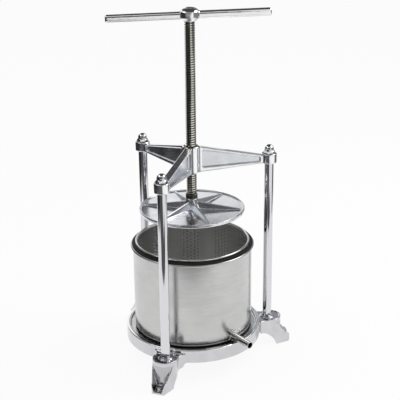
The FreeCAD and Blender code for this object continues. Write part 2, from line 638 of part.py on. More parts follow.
def press_plate():
    """The cast press plate: a disc with a raised lip, a drafted hub and six tapering ribs."""
    lip_top = PLATE_TOP + PLATE_LIP_HEIGHT
    lip_inner = PLATE_R - PLATE_LIP_WIDTH
    disc = turned([
        (0.0, PLATE_UNDERSIDE), (PLATE_R - PLATE_EDGE, PLATE_UNDERSIDE),
        (PLATE_R, PLATE_UNDERSIDE + PLATE_EDGE), (PLATE_R, lip_top - PLATE_LIP_EDGE),
        (PLATE_R - PLATE_LIP_EDGE, lip_top), (lip_inner + PLATE_LIP_EDGE, lip_top),
        (lip_inner, PLATE_TOP), (PLATE_HUB_FOOT_R + PLATE_HUB_FILLET, PLATE_TOP),
        (PLATE_HUB_FOOT_R, PLATE_TOP + PLATE_HUB_FILLET / 2),
        (PLATE_HUB_TOP_R, PLATE_TOP + PLATE_HUB_FLARE_HEIGHT),
        (PLATE_HUB_TOP_R, PLATE_HUB_TOP - PLATE_HUB_EDGE),
        (PLATE_HUB_TOP_R - PLATE_HUB_EDGE, PLATE_HUB_TOP), (0.0, PLATE_HUB_TOP)])
    rib = plate_rib()
    ribs = [turned_to(rib, PLATE_RIB_OFFSET + 360.0 * i / PLATE_RIBS) for i in range(PLATE_RIBS)]
    bore = cylinder(JOURNAL_R + RUNNING_CLEARANCE, PLATE_UNDERSIDE, PLATE_HUB_TOP)
    recess = cylinder(PLATE_WASHER_R + PLATE_RECESS_CLEARANCE, PLATE_UNDERSIDE, PLATE_RECESS_TOP)
    return disc.fuse(ribs).cut([bore, recess]).removeSplitter()


def thrust_washer():
    return ring(THRUST_COLLAR_R, JOURNAL_R, PLATE_HUB_TOP, THRUST_WASHER_TOP)


def thrust_collar():
    """The dark steel collar under the screw's shoulder, which pushes on the plate's hub."""
    return turned([
        (JOURNAL_R, THRUST_WASHER_TOP), (THRUST_COLLAR_R, THRUST_WASHER_TOP),
        (THRUST_COLLAR_R, SCREW_SHOULDER - THRUST_COLLAR_EDGE),
        (THRUST_COLLAR_R - THRUST_COLLAR_EDGE, SCREW_SHOULDER), (JOURNAL_R, SCREW_SHOULDER)])


def plate_washer():
    return ring(PLATE_WASHER_R, PLATE_BOLT_R, PLATE_WASHER_BOTTOM, JOURNAL_END)


def plate_bolt():
    """The short bolt up into the screw's end, which keeps the plate on when it is raised."""
    head_bottom = PLATE_WASHER_BOTTOM - PLATE_BOLT_HEAD_HEIGHT
    head = hexagon(PLATE_BOLT_HEAD_FLATS, head_bottom, PLATE_WASHER_BOTTOM)
    shank = cylinder(PLATE_BOLT_R, PLATE_WASHER_BOTTOM, PLATE_WASHER_BOTTOM + PLATE_BOLT_LENGTH)
    return head.fuse(shank).removeSplitter()


def handle_pin_hole():
    """The blind hole from the hub's far side into the screw's tenon, square to the bar."""
    across = Vector(math.cos(math.radians(HANDLE_ANGLE + 90)),
                    math.sin(math.radians(HANDLE_ANGLE + 90)), 0)
    start = Vector(0, 0, HANDLE_HUB_BOTTOM + HANDLE_PIN_HEIGHT) - across * HANDLE_PIN_DEPTH
    return Part.makeCylinder(HANDLE_PIN_R, HANDLE_PIN_DEPTH + HANDLE_HUB_R, start, across)


def spindle():
    """The screw, drawn at its outside diameter, with a journal below and a tenon above."""
    rod = turned([
        (0.0, JOURNAL_END), (JOURNAL_R - JOURNAL_CHAMFER, JOURNAL_END),
        (JOURNAL_R, JOURNAL_END + JOURNAL_CHAMFER), (JOURNAL_R, SCREW_SHOULDER),
        (SCREW_R - SCREW_CHAMFER, SCREW_SHOULDER), (SCREW_R, SCREW_SHOULDER + SCREW_CHAMFER),
        (SCREW_R, HANDLE_HUB_BOTTOM), (HANDLE_TENON_R, HANDLE_HUB_BOTTOM),
        (HANDLE_TENON_R, SCREW_TOP), (0.0, SCREW_TOP)])
    bolt_hole = cylinder(PLATE_BOLT_R, JOURNAL_END,
                         PLATE_WASHER_BOTTOM + PLATE_BOLT_LENGTH + PLATE_BOLT_HOLE_BEYOND)
    return rod.cut([bolt_hole, handle_pin_hole()])


def handle_bar():
    """One straight bar through the hub, with rounded long edges and rounded ends."""
    bottom = HANDLE_HUB_BOTTOM + HANDLE_BAR_RISE - HANDLE_BAR_HEIGHT / 2
    bar = Part.makeBox(2 * HANDLE_HALF_LENGTH, HANDLE_BAR_WIDTH, HANDLE_BAR_HEIGHT,
                       Vector(-HANDLE_HALF_LENGTH, -HANDLE_BAR_WIDTH / 2, bottom))
    long_edges = [e for e in bar.Edges if abs(e.Length - 2 * HANDLE_HALF_LENGTH) < 1e-6]
    bar = bar.makeFillet(HANDLE_BAR_EDGE_R, long_edges)
    end_edges = [e for e in bar.Edges
                 if abs(abs(e.CenterOfMass.x) - HANDLE_HALF_LENGTH) < 1e-6]
    return bar.makeFillet(HANDLE_BAR_END_R, end_edges)


def t_handle():
    """The cast handle: a domed hub with a chamfered foot, and a bar across it."""
    top = HANDLE_HUB_BOTTOM + HANDLE_HUB_HEIGHT
    dome_run = HANDLE_HUB_R - HANDLE_CROWN_R
    dome_r = (dome_run ** 2 + HANDLE_DOME_HEIGHT ** 2) / (2 * HANDLE_DOME_HEIGHT)
    dome_start = math.degrees(math.acos(dome_run / dome_r))
    dome_centre = (HANDLE_CROWN_R, top - dome_r)
    hub = turned([
        (0.0, HANDLE_HUB_BOTTOM), (HANDLE_HUB_FOOT_R, HANDLE_HUB_BOTTOM),
        (HANDLE_HUB_R, HANDLE_HUB_BOTTOM + HANDLE_HUB_CHAMFER),
        (HANDLE_HUB_R, top - HANDLE_DOME_HEIGHT), arc(dome_centre, dome_r, dome_start, 90),
        (0.0, top)])
    solid = hub.fuse(turned_to(handle_bar(), HANDLE_ANGLE))
    socket = cylinder(HANDLE_TENON_R, HANDLE_HUB_BOTTOM, SCREW_TOP)
    return solid.cut([socket, handle_pin_hole()])


def handle_pin():
    return handle_pin_hole().common(
        cylinder(HANDLE_HUB_R - HANDLE_PIN_RECESS, HANDLE_HUB_BOTTOM, SCREW_TOP))


def save(name, shape):
    if isinstance(shape, list):
        shape = Part.makeCompound(shape)
    solids = shape.Solids
    assert solids and all(s.isValid() for s in solids), name
    kept = solids[0] if len(solids) == 1 else Part.makeCompound(solids)
    kept.exportStep(os.path.join("parts", name + ".step"))
    print(name, len(solids), round(sum(s.Volume for s in solids) / 1000, 2), "cm3")


os.makedirs("parts", exist_ok=True)

save("base_casting", base_casting())
for name, solid in zip(POST_NAMES, at_posts(post())):
    save(name, solid)
save("foot_washers", at_posts(washer(NUT_SEAT_Z - WASHER_THICKNESS)))
save("foot_nuts", at_posts(hex_nut(NUT_SEAT_Z - WASHER_THICKNESS - HEX_NUT_HEIGHT)))
save("yoke_casting", yoke_casting())
save("screw_nut", screw_nut())
save("top_washers", at_posts(washer(CUP_Z)))
save("acorn_nuts", at_posts(acorn_nut(CUP_Z + WASHER_THICKNESS)))
save("vessel_shell", vessel_shell())
save("vessel_bottom", vessel_bottom())
save("spout_tube", spout_tube())
save("spout_collar", spout_collar())
save("basket_shell", basket_shell())
save("basket_rim", basket_rim())
save("basket_floor", basket_floor())
save("splash_ring", splash_ring())
save("press_plate", press_plate())
save("thrust_washer", thrust_washer())
save("thrust_collar", thrust_collar())
save("plate_washer", plate_washer())
save("plate_bolt", plate_bolt())
save("spindle", spindle())
save("t_handle", t_handle())
save("handle_pin", handle_pin())
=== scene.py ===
import math

import bmesh
import bpy
from mathutils import Matrix, Vector


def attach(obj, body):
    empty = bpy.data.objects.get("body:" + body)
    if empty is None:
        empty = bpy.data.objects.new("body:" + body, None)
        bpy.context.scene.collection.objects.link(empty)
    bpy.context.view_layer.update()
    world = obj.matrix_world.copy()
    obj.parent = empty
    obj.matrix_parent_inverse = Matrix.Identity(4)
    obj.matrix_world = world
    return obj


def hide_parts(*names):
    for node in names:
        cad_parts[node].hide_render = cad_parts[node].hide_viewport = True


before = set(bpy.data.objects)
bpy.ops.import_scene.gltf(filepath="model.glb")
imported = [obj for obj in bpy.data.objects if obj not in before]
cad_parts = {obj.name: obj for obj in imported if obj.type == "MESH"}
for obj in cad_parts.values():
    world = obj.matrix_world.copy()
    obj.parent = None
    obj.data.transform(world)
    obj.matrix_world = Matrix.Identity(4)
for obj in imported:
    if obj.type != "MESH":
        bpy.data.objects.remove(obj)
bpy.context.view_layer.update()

# The press stands on a white table. It is photographed from a little above, in front of its
# left post, so that the T-handle runs across the top of the picture.
CAMERA_AZIMUTH = math.radians(-40.2)
CAMERA_ELEVATION = math.radians(19.9)
CAMERA_ROLL = math.radians(-0.6)
CAMERA_DISTANCE = 1.7155
CAMERA_LENS = 89.67
CAMERA_SENSOR = 36.0
AIM = Vector((0.0142, 0.0, 0.2841))

towards_camera = Matrix.Rotation(CAMERA_AZIMUTH, 4, "Z")
camera = bpy.data.objects.new("camera", bpy.data.cameras.new("camera"))
camera.data.lens = CAMERA_LENS
camera.data.sensor_width = CAMERA_SENSOR
camera.matrix_world = (
    towards_camera
    @ Matrix.Translation(AIM)
    @ Matrix.Rotation(math.radians(90) - CAMERA_ELEVATION, 4, "X")
    @ Matrix.Rotation(CAMERA_ROLL, 4, "Z")
    @ Matrix.Translation((0.0, 0.0, CAMERA_DISTANCE)))
bpy.context.scene.collection.objects.link(camera)
bpy.context.scene.camera = camera
bpy.context.scene.view_settings.view_transform = "Standard"


# The white table, the pale room round it and two soft boxes. Dark felt screens stand out of
# the picture, where only polished metal sees them.
TABLE_SIZE = 16.0
TABLE_WHITE = (0.93, 0.93, 0.93, 1.0)
TABLE_ROUGHNESS = 0.9
TABLE_GLOW = 0.92
ROOM_LIGHT = 0.6
WHITE = (1.0, 1.0, 1.0, 1.0)
LAMP_AIM = Vector((0.0, 0.0, 0.25))
LAMP_DISTANCE = 1.9


class Socket:
    """A value in a node tree. Arithmetic on it adds Math nodes."""

    def __init__(self, finish, output):
        self.finish = finish
        self.output = output

    def math(self, operation, *others):
        return self.finish.add("Math", {"operation": operation}, (self, *others))

    def __add__(self, other):
        return self.math("ADD", other)

    def __sub__(self, other):
        return self.math("SUBTRACT", other)

    def __rsub__(self, other):
        return self.finish.add("Math", {"operation": "SUBTRACT"}, (other, self))

    def __mul__(self, other):
        return self.math("MULTIPLY", other)

    def __truediv__(self, other):
        return self.math("DIVIDE", other)

    __radd__ = __add__
    __rmul__ = __mul__


class Finish:
    """A material or the room's light: a node tree whose nodes are added by type."""

    def __init__(self, owner):
        owner.use_nodes = True
        self.owner = owner
        self.tree = owner.node_tree
        self.shader = self.tree.nodes.get("Principled BSDF")

    def add(self, kind, settings=None, values=(), output=0):
        node = self.tree.nodes.new("ShaderNode" + kind)
        for name, value in (settings or {}).items():
            setattr(node, name, value)
        pairs = values.items() if isinstance(values, dict) else enumerate(values)
        for name, value in pairs:
            self.plug(node.inputs[name], value)
        return Socket(self, node.outputs[output])

    def plug(self, socket, value):
        if isinstance(value, Socket):
            self.tree.links.new(value.output, socket)
        else:
            socket.default_value = value

    def set(self, **values):
        """Set or link the shader's sockets. A name's underscore stands for a space."""
        for name, value in values.items():
            self.plug(self.shader.inputs[name.replace("_", " ")], value)

    def mix(self, factor, colour_a, colour_b):
        return self.add("Mix", {"data_type": "RGBA"}, {0: factor, 6: colour_a, 7: colour_b}, 2)

    def spread(self, value, low, high, to_low, to_high):
        """The value, stretched from one range to another and held inside it."""
        return self.add("MapRange", {}, (value, low, high, to_low, to_high))

    def place(self):
        return self.add("TexCoord", output="Object")

    def stretched(self, scale):
        return self.add("Mapping", {}, {"Vector": self.place(), "Scale": scale})

    def noise(self, vector, scale, detail=2.0, roughness=0.5):
        return self.add("TexNoise", {}, {
            "Vector": vector, "Scale": scale, "Detail": detail, "Roughness": roughness})

    def bump(self, height, distance, under=None):
        values = {"Height": height, "Distance": distance}
        if under:
            values["Normal"] = under
        return self.add("Bump", {}, values)


def new_finish(name):
    return Finish(bpy.data.materials.new(name))


def seen_straight_on(finish):
    """1 for what the camera, polished metal or glass sees, 0 for the light that falls."""
    camera_ray, glossy_ray, glass_ray = [
        finish.add("LightPath", output=name)
        for name in ("Is Camera Ray", "Is Glossy Ray", "Is Transmission Ray")]
    return (camera_ray + glossy_ray + glass_ray).math("MINIMUM", 1.0)


def link(piece):
    bpy.context.scene.collection.objects.link(piece)
    return piece


def piece_of(work, name, finish):
    """Turn a finished bmesh into an object that wears one finish."""
    mesh = bpy.data.meshes.new(name)
    work.to_mesh(mesh)
    work.free()
    mesh.materials.append(finish.owner)
    return link(bpy.data.objects.new(name, mesh))


room = Finish(bpy.data.worlds.new("room"))
bpy.context.scene.world = room.owner
backdrop = room.tree.nodes["Background"].inputs
room.plug(backdrop["Color"], WHITE)
room.plug(backdrop["Strength"], ROOM_LIGHT + (1.0 - ROOM_LIGHT) * seen_straight_on(room))

table_white = new_finish("table_white")
table_white.set(Base_Color=TABLE_WHITE, Roughness=TABLE_ROUGHNESS, Specular_IOR_Level=0.0)
table_paint = Socket(table_white, table_white.shader.outputs[0])
table_glow = table_white.add("Emission", {}, (WHITE, 1.0))
table_skin = table_white.add("MixShader", {}, (
    TABLE_GLOW * seen_straight_on(table_white), table_paint, table_glow))
table_white.plug(table_white.tree.nodes["Material Output"].inputs["Surface"], table_skin)

work = bmesh.new()
bmesh.ops.create_grid(work, x_segments=1, y_segments=1, size=TABLE_SIZE / 2)
piece_of(work, "white_table", table_white)


def screen(name, middle, width, height, lean, grey):
    """A felt screen that only polished metal sees. Its middle is given from the camera's side."""
    felt = new_finish(name)
    glow = felt.add("Emission", {}, ((*grey, 1.0), 1.0))
    felt.plug(felt.tree.nodes["Material Output"].inputs["Surface"], glow)
    work = bmesh.new()
    bmesh.ops.create_grid(work, x_segments=1, y_segments=1, size=0.5)
    place = towards_camera @ Matrix.Translation(middle) @ lean.to_4x4()
    work.transform(place @ Matrix.Diagonal((width, height, 1.0, 1.0)))
    sheet = piece_of(work, name, felt)
    sheet.visible_camera = sheet.visible_diffuse = sheet.visible_shadow = False
    sheet.visible_transmission = False


FLAT = Matrix.Identity(3)
UPRIGHT = Matrix.Rotation(math.radians(90), 3, "X")
SIDEWAYS = Matrix.Rotation(math.radians(90), 3, "Z") @ UPRIGHT

# Laid on the table: they darken the upper parts of the posts, the screw and the yoke's arms.
screen("front_screen", (-0.5, -1.15, 0.002), 1.4, 1.22, FLAT, (0.1, 0.1, 0.105))
screen("near_screen", (0.36, -0.64, 0.002), 0.32, 0.24, FLAT, (0.08, 0.08, 0.083))
screen("far_screen", (-1.33, -2.75, 0.002), 4.15, 2.1, FLAT, (0.05, 0.05, 0.052))
screen("left_screen", (-1.475, -0.05, 0.003), 1.45, 3.3, FLAT, (0.03, 0.03, 0.032))
screen("right_screen", (1.55, 0.75, 0.002), 1.5, 1.6, FLAT, (0.12, 0.12, 0.125))
# At the sides: they give the posts and the nuts their dark edges.
screen("left_wall", (-1.7, 0.1, 0.8), 3.6, 1.6, SIDEWAYS, (0.035, 0.035, 0.037))
screen("right_wall", (2.0, 0.0, 0.75), 3.4, 1.3, SIDEWAYS, (0.22, 0.22, 0.23))
# Behind the press: the yoke's top sees the upper one, and the plate's face the lower one.
screen("rear_screen", (0.33, 0.45, 0.655), 0.7, 0.37, UPRIGHT, (0.08, 0.085, 0.095))
screen("low_rear_screen", (0.4, 0.45, 0.28), 0.58, 0.4, UPRIGHT, (0.38, 0.4, 0.43))
# High in front and overhead: the castings' rounded edges and the domed nuts see these.
screen("front_wall", (-0.25, -2.3, 1.35), 3.0, 2.1, UPRIGHT, (0.1, 0.1, 0.105))
screen("high_screen", (0.0, 1.0, 2.4), 3.4, 4.4, FLAT, (0.06, 0.06, 0.063))


def soft_box(name, azimuth, elevation, size, power):
    """A square lamp that looks at the press. Its azimuth is from the camera's, to the right."""
    lamp = link(bpy.data.objects.new(name, bpy.data.lights.new(name, "AREA")))
    lamp.data.size = size
    lamp.data.energy = power
    around = CAMERA_AZIMUTH + math.radians(azimuth)
    up = math.radians(elevation)
    out = Vector((math.sin(around) * math.cos(up), -math.cos(around) * math.cos(up),
                  math.sin(up)))
    lamp.matrix_world = (Matrix.Translation(LAMP_AIM + out * LAMP_DISTANCE)
                         @ out.to_track_quat("Z", "Y").to_matrix().to_4x4())


soft_box("key_box", azimuth=100.0, elevation=42.0, size=1.1, power=13.0)
soft_box("fill_box", azimuth=-75.0, elevation=50.0, size=0.8, power=4.0)


# The base is one aluminium casting: tray, rim, lugs and three arched feet. It was tumbled and
# polished after casting, so its faces are bright but still wavy and its edges are worn round.
# The tray's floor and the lug faces in the toes are rougher. The floor under the vessel, the
# tray's groove, the toes' pockets and those lug faces are darkened with painted shade, and the
# rim's top gets a painted highlight.
BASE_METAL = (0.62, 0.62, 0.635)
RIM_HIGHLIGHT = (0.92, 0.92, 0.93, 1.0)
PAINTED_SHADE_UNDER_VESSEL = (0.06, 0.06, 0.062, 1.0)
POCKET_SHADE = (0.08, 0.08, 0.085, 1.0)
DEEP_SHADE = (0.03, 0.03, 0.03, 1.0)
POST_ANGLES = (-150.0, -30.0, 90.0)
SHADE_UNDER_VESSEL_R = 0.0985
TRAY_R = 0.1124
GROOVE_FROM = 0.1136
GROOVE_TO = 0.1148
GROOVE_Z = 0.0545
RIM_Z = 0.0553
LUG_CIRCLE_R = 0.14
LUG_R = 0.0218
POCKET_BOTTOM = 0.0035
POCKET_TOP = 0.0445
POCKET_FLOOR = 0.0045
POCKET_FLOOR_HALF = 0.007
POCKET_SPREAD = 0.306
EDGE_BLUR = 0.0002
POCKET_DARK = 0.35
LUG_PANEL_DARK = 0.2
GROOVE_DARK = 0.85
RIM_HIGHLIGHT_STRENGTH = 0.9
TRAY_DULL = 0.14
LUG_PANEL_DULL = 0.15


def shade(colour, amount):
    return (*(channel * amount for channel in colour), 1.0)


def cast_metal(name, colour, gloss, wave):
    """Polished cast aluminium: cloudy, with fine pits and a slow wave that bends reflections."""
    metal = new_finish(name)
    cloud = metal.noise(metal.place(), 45.0, 3.0, 0.55)
    grain = metal.noise(metal.place(), 900.0, 2.0, 0.6)
    slow = metal.noise(metal.place(), 60.0, 1.0)
    metal.cloud = metal.spread(cloud, 0.35, 0.65, 0.0, 1.0)
    metal.colour = metal.mix(metal.cloud, shade(colour, 0.93), shade(colour, 1.04))
    metal.rough = metal.spread(cloud, 0.3, 0.7, gloss - 0.03, gloss + 0.03) + 0.03 * grain
    metal.set(Metallic=1.0, Base_Color=metal.colour, Roughness=metal.rough,
              Normal=metal.bump(grain, 0.00001, under=metal.bump(slow, wave)))
    return metal


def tumbled(node, name, finish, voxel, triangles, wear):
    """A casting with worn edges and small fillets: its solid, remeshed and smoothed."""
    work = bmesh.new()
    work.from_mesh(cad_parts[node].data)
    bmesh.ops.remove_doubles(work, verts=work.verts, dist=1e-6)
    blank = piece_of(work, name + "_blank", finish)
    for kind, settings in (
            ("REMESH", {"mode": "VOXEL", "voxel_size": voxel}),
            ("SMOOTH", {"factor": 0.5, "iterations": wear}),
            ("DECIMATE", {"ratio": 1.0})):
        modifier = blank.modifiers.new(kind, kind)
        for setting, value in settings.items():
            setattr(modifier, setting, value)
    fine = blank.evaluated_get(bpy.context.evaluated_depsgraph_get()).data
    fine_triangles = sum(len(face.vertices) - 2 for face in fine.polygons)
    blank.modifiers["DECIMATE"].ratio = min(1.0, triangles / fine_triangles)
    worn = blank.evaluated_get(bpy.context.evaluated_depsgraph_get())
    mesh = bpy.data.meshes.new_from_object(worn)
    bpy.data.objects.remove(blank)
    mesh.shade_smooth()
    mesh.materials.clear()
    mesh.materials.append(finish.owner)
    piece = link(bpy.data.objects.new(name, mesh))
    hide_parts(node)
    return piece


def dress(finish, *nodes):
    """Give a CAD node's object a finish."""
    for node in nodes:
        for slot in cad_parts[node].material_slots:
            slot.material = finish.owner


def above(value, limit):
    """1 where a value is over a limit, 0 under it, with a short slope between."""
    return value.finish.spread(value - limit, -EDGE_BLUR, EDGE_BLUR, 0.0, 1.0)


def below(value, limit):
    return 1.0 - above(value, limit)


def between(value, low, high):
    return above(value, low) * below(value, high)


def coordinates(finish):
    """The three coordinates of a point, one socket each."""
    return [finish.add("SeparateXYZ", {}, (finish.place(),), name) for name in "XYZ"]


def from_axis(finish):
    """A point's distance from the screw's axis."""
    flat = finish.stretched((1.0, 1.0, 0.0))
    return finish.add("VectorMath", {"operation": "LENGTH"}, (flat,), "Value")


def towards_post(across, deep, angle):
    """How far a point lies out towards a post, and how far it lies beside that line."""
    out_x, out_y = math.cos(math.radians(angle)), math.sin(math.radians(angle))
    return across * out_x + deep * out_y, (deep * out_x - across * out_y).math("ABSOLUTE")


base_metal = cast_metal("tumbled_base", BASE_METAL, gloss=0.08, wave=0.0005)
across, deep, high = coordinates(base_metal)
reach = from_axis(base_metal)
in_pocket = on_lug_panel = 0.0
for angle in POST_ANGLES:
    along, aside = towards_post(across, deep, angle)
    past_post = along - LUG_CIRCLE_R
    from_lug = (past_post * past_post + aside * aside).math("SQRT")
    half_width = POCKET_FLOOR_HALF + POCKET_SPREAD * (high - POCKET_FLOOR)
    on_toe = (above(past_post, 0.0) * below(aside - half_width, EDGE_BLUR)
              * between(high, POCKET_BOTTOM, POCKET_TOP))
    past_lug = above(from_lug, LUG_R)
    in_pocket = on_toe * past_lug + in_pocket
    on_lug_panel = on_toe * (1.0 - past_lug) + on_lug_panel
in_groove = above(high, GROOVE_Z) * between(reach, GROOVE_FROM, GROOVE_TO)
on_rim = above(high, RIM_Z) * above(reach, TRAY_R)

# Painted shade darkens the floor under the vessel.
base_colour = base_metal.mix(below(reach, SHADE_UNDER_VESSEL_R), base_metal.colour, PAINTED_SHADE_UNDER_VESSEL)
# Painted shade darkens the toes' pockets and the lug faces inside them.
base_colour = base_metal.mix(POCKET_DARK * in_pocket + LUG_PANEL_DARK * on_lug_panel,
                             base_colour, POCKET_SHADE)
# A painted highlight brightens the rim's top.
base_colour = base_metal.mix(RIM_HIGHLIGHT_STRENGTH * on_rim, base_colour, RIM_HIGHLIGHT)
# Painted shade darkens the tray's groove.
base_colour = base_metal.mix(GROOVE_DARK * in_groove, base_colour, DEEP_SHADE)
base_metal.set(Base_Color=base_colour,
               Roughness=(base_metal.rough + TRAY_DULL * below(reach, TRAY_R)
                          + LUG_PANEL_DULL * on_lug_panel))
cast_base = tumbled("base_casting", "cast_base", base_metal,
                    voxel=0.0008, triangles=180000, wear=4)
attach(cast_base, "frame")


# Three posts of 16 mm steel rod, hard chromed. Each is turned down to a stud at both ends and
# stands on its shoulder in the base's lug.
CHROME = (0.71, 0.71, 0.735)


def smooth_metal(name, dark, light, patch, detail, gloss, stretch=(1.0, 1.0, 1.0)):
    """Turned or plated metal: its colour and its gloss change from patch to patch."""
    metal = new_finish(name)
    patches = metal.noise(metal.stretched(stretch), patch, detail, 0.6)
    metal.set(Metallic=1.0, Base_Color=metal.mix(patches, dark, light),
              Roughness=metal.spread(patches, *gloss))
    return metal


chrome = smooth_metal("hard_chrome", shade(CHROME, 0.96), shade(CHROME, 1.03), patch=80.0,
                      detail=4.0, gloss=(0.35, 0.75, 0.05, 0.13), stretch=(1.0, 1.0, 0.35))
dress(chrome, "left_post", "right_post", "rear_post")


# Bright zinc washers and nuts hold the posts' studs in pockets under the lugs. Chromed domed
# nuts sit on washers in the yoke's cups, and a zinc bolt and washer hold the plate from below.
ZINC = (0.6, 0.61, 0.63)

zinc = smooth_metal("bright_zinc", shade(ZINC, 0.85), shade(ZINC, 1.1), patch=350.0,
                    detail=3.0, gloss=(0.3, 0.7, 0.16, 0.3))
dress(zinc, "foot_washers", "foot_nuts", "top_washers", "plate_washer", "plate_bolt")
dress(chrome, "acorn_nuts")


# The yoke is a cast aluminium spider, polished on its edges and satin in its panels. Its three
# I-section arms are thin webs with raised flanges. The round hub carries the screw's nut.
YOKE_BRIGHT = (0.92, 0.925, 0.94)
YOKE_SATIN = (0.8, 0.815, 0.85)
HUB_CORNER_SHADE = (0.08, 0.08, 0.09, 1.0)
ARM_START = 0.015
ARM_END = 0.1218
ARM_TOP_AT_HUB = 0.38
ARM_TOP_AT_POST = 0.3582
ARM_BOTTOM_AT_HUB = 0.336
ARM_BOTTOM_AT_POST = 0.3436
PANEL_FROM = 0.0166
PANEL_TO = 0.124
PANEL_BORDER = 0.0015
PANEL_HALF = 0.0052
PANEL_DULL = 0.1
HUB_CORNER_R = 0.0158
HUB_CORNER_FROM = 0.0062
HUB_CORNER_TO = 0.0085
HUB_CORNER_DARK = 0.85

yoke_metal = cast_metal("polished_yoke", YOKE_BRIGHT, gloss=0.12, wave=0.0002)
across, deep, high = coordinates(yoke_metal)
reach = from_axis(yoke_metal)
in_panel = in_hub_corner = 0.0
for angle in POST_ANGLES:
    along, aside = towards_post(across, deep, angle)
    share = (along - ARM_START) / (ARM_END - ARM_START)
    top = ARM_TOP_AT_HUB + share * (ARM_TOP_AT_POST - ARM_TOP_AT_HUB)
    bottom = ARM_BOTTOM_AT_HUB + share * (ARM_BOTTOM_AT_POST - ARM_BOTTOM_AT_HUB)
    in_panel = (between(along, PANEL_FROM, PANEL_TO) * below(aside, PANEL_HALF)
                * above(top - high, PANEL_BORDER) * above(high - bottom, PANEL_BORDER)
                + in_panel)
    in_hub_corner = (between(aside, HUB_CORNER_FROM, HUB_CORNER_TO) * above(along, 0.0)
                     * below(reach, HUB_CORNER_R) + in_hub_corner)
satin = yoke_metal.mix(yoke_metal.cloud, shade(YOKE_SATIN, 0.92), shade(YOKE_SATIN, 1.05))
bright = yoke_metal.mix(yoke_metal.cloud, shade(YOKE_BRIGHT, 0.95), shade(YOKE_BRIGHT, 1.03))
# Painted shadow darkens the corners between the hub and each arm.
bright = yoke_metal.mix(HUB_CORNER_DARK * in_hub_corner, bright, HUB_CORNER_SHADE)
yoke_metal.set(Base_Color=yoke_metal.mix(in_panel, bright, satin),
               Roughness=yoke_metal.rough + PANEL_DULL * in_panel)
cast_yoke = tumbled("yoke_casting", "cast_yoke", yoke_metal,
                    voxel=0.0006, triangles=120000, wear=10)
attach(cast_yoke, "frame")


# The nut is a bronze sleeve pressed into the yoke's hub. A thin washer of the same bronze lies
# between the plate and its collar, where the screw's thrust is taken. Both are dark with oil.
BRONZE_DARK = (0.12, 0.09, 0.055, 1.0)
BRONZE_LIGHT = (0.28, 0.225, 0.145, 1.0)

bronze = smooth_metal("oiled_bronze", BRONZE_DARK, BRONZE_LIGHT, patch=120.0, detail=4.0,
                      gloss=(0.3, 0.7, 0.25, 0.4))
dress(bronze, "screw_nut", "thrust_washer")


# The vessel is rolled from brushed stainless sheet, with a beaded rim and a lap seam. Its
# pressed lower corner is dull. Its inside is painted with dark shade, for no light gets in
# between its wall and the basket's.
STAINLESS = (0.57, 0.57, 0.565)
VESSEL_INSIDE_R = 0.103
VESSEL_CORNER_TOP = 0.0585
VESSEL_CORNER_STAIN = 0.6
VESSEL_CORNER_DULL = 0.35


def brushed_sheet(name, colour, gloss):
    """Brushed sheet: fine streaks along the roll, with cloudy marks of wear."""
    sheet = new_finish(name)
    streak = sheet.noise(sheet.stretched((25.0, 25.0, 1400.0)), 1.0, 3.0, 0.7)
    cloud = sheet.noise(sheet.stretched((1.0, 1.0, 1.8)), 18.0, 3.0, 0.6)
    tone = sheet.spread(0.5 * streak + 0.5 * cloud, 0.35, 0.65, 0.0, 1.0)
    sheet.colour = sheet.mix(tone, shade(colour, 0.93), shade(colour, 1.05))
    sheet.rough = sheet.spread(tone, 0.0, 1.0, gloss + 0.05, gloss - 0.05)
    sheet.set(Metallic=1.0, Base_Color=sheet.colour, Roughness=sheet.rough,
              Normal=sheet.bump(streak, 0.00002))
    return sheet


vessel_sheet = brushed_sheet("vessel_sheet", STAINLESS, gloss=0.22)
# Painted shade darkens the vessel's inside.
inside_vessel = below(from_axis(vessel_sheet), VESSEL_INSIDE_R)
at_corner = below(coordinates(vessel_sheet)[2], VESSEL_CORNER_TOP)
vessel_sheet.set(Base_Color=vessel_sheet.mix(inside_vessel, vessel_sheet.colour, DEEP_SHADE),
                 Metallic=1.0 - VESSEL_CORNER_STAIN * at_corner,
                 Roughness=vessel_sheet.rough + VESSEL_CORNER_DULL * at_corner)
dress(vessel_sheet, "vessel_shell", "vessel_bottom")


# The spout is a piece of polished stainless tube. A small flange closes the joint at its root.
SPOUT_STEEL = (0.66, 0.66, 0.63)

spout_steel = smooth_metal("polished_steel", shade(SPOUT_STEEL, 0.94), shade(SPOUT_STEEL, 1.03),
                           patch=70.0, detail=4.0, gloss=(0.3, 0.7, 0.03, 0.1))
dress(spout_steel, "spout_tube", "spout_collar")


# The basket's wall is perforated sheet: ten bands of five staggered columns of holes, with
# plain sheet between them. A bright ring is welded to its edge, and its floor is inside.
BASKET_STEEL = (0.8, 0.8, 0.785)
BASKET_METALLIC = 0.93
HOLE_SHADE_DARK = (0.02, 0.02, 0.02, 1.0)
HOLE_SHADE_LIGHT = (0.08, 0.08, 0.078, 1.0)
PUNCHED_ROUGHNESS = 0.6
BASKET_R = 0.097
BASKET_WALL = 0.001
BASKET_FOOT = 0.054
BASKET_WALL_TOP = 0.2126
BANDS = 10
BAND_COLUMNS = 9
HOLE_COLUMNS = 5
CELL_ROWS = 49
PLAIN_ROWS = 2
HOLE_R = 0.00125
FIRST_BAND_ANGLE = math.radians(6.0)

columns = BAND_COLUMNS * BANDS
cell_height = (BASKET_WALL_TOP - BASKET_FOOT) / CELL_ROWS
cell_width = 2 * math.pi * BASKET_R / columns

